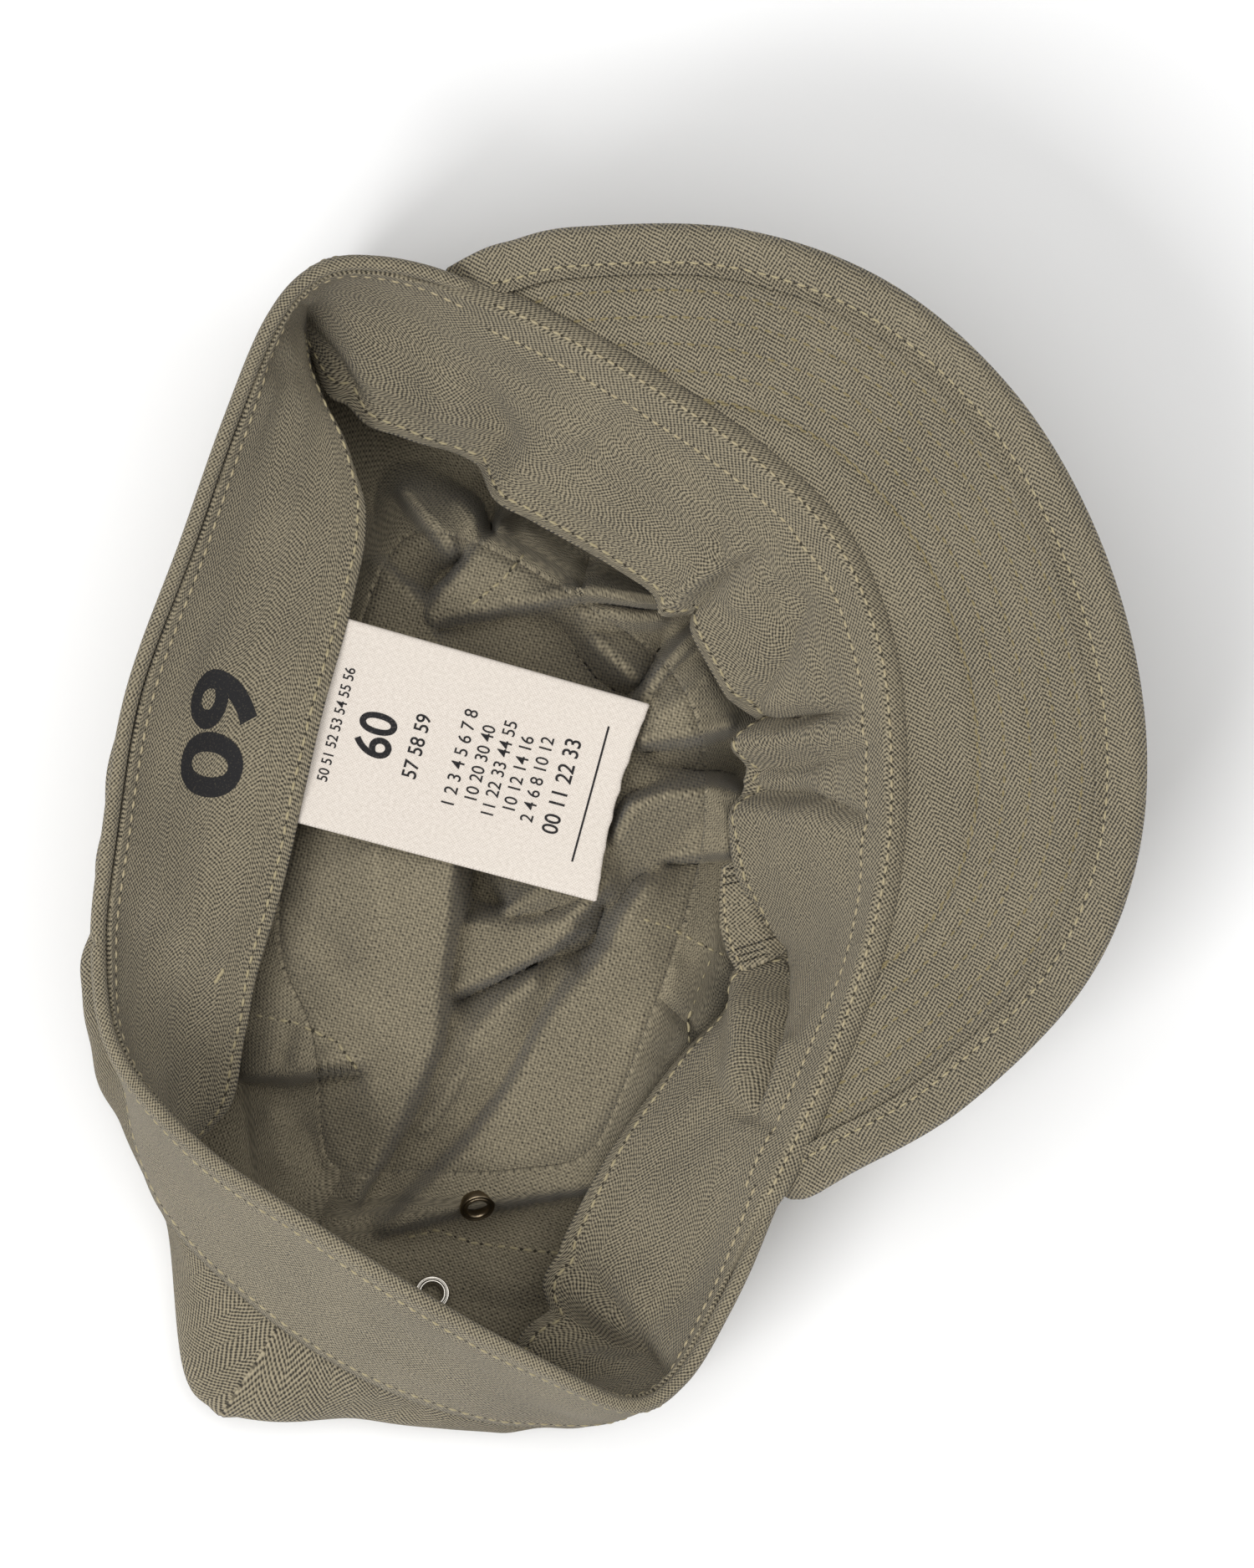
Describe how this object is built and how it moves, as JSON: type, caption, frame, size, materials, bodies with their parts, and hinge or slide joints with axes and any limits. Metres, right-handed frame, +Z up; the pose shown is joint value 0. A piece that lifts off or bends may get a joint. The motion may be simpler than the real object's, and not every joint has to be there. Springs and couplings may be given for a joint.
{
  "type": "field cap",
  "caption": "Soft twill field cap lying upside down on its crown: a headband and sweatband loop, a folded crown, a stitched peak, vent eyelets and a cotton label.",
  "frame": {"origin": "middle of the cap's box, on the surface that its crown rests on", "axes": "+Z up, out of the opening; the peak points along -Y; the wearer's left is -X because the cap lies upside down"},
  "size_m": [0.2334, 0.2248, 0.0795],
  "materials": {
    "twill": "woven, matt",
    "cotton": "woven, matt",
    "nickel": "satin"
  },
  "bodies": {
    "root": {"band": "twill", "sweatband": "twill", "crown_front": "twill", "crown_right": "twill", "crown_back": "twill", "crown_left": "twill", "crown_top": "twill", "peak_under": "twill", "peak_cover": "twill", "eyelet_left_front": "nickel", "eyelet_left_rear": "nickel", "eyelet_right_front": "nickel", "eyelet_right_rear": "nickel", "label": "cotton"}
  },
  "joints": []
}
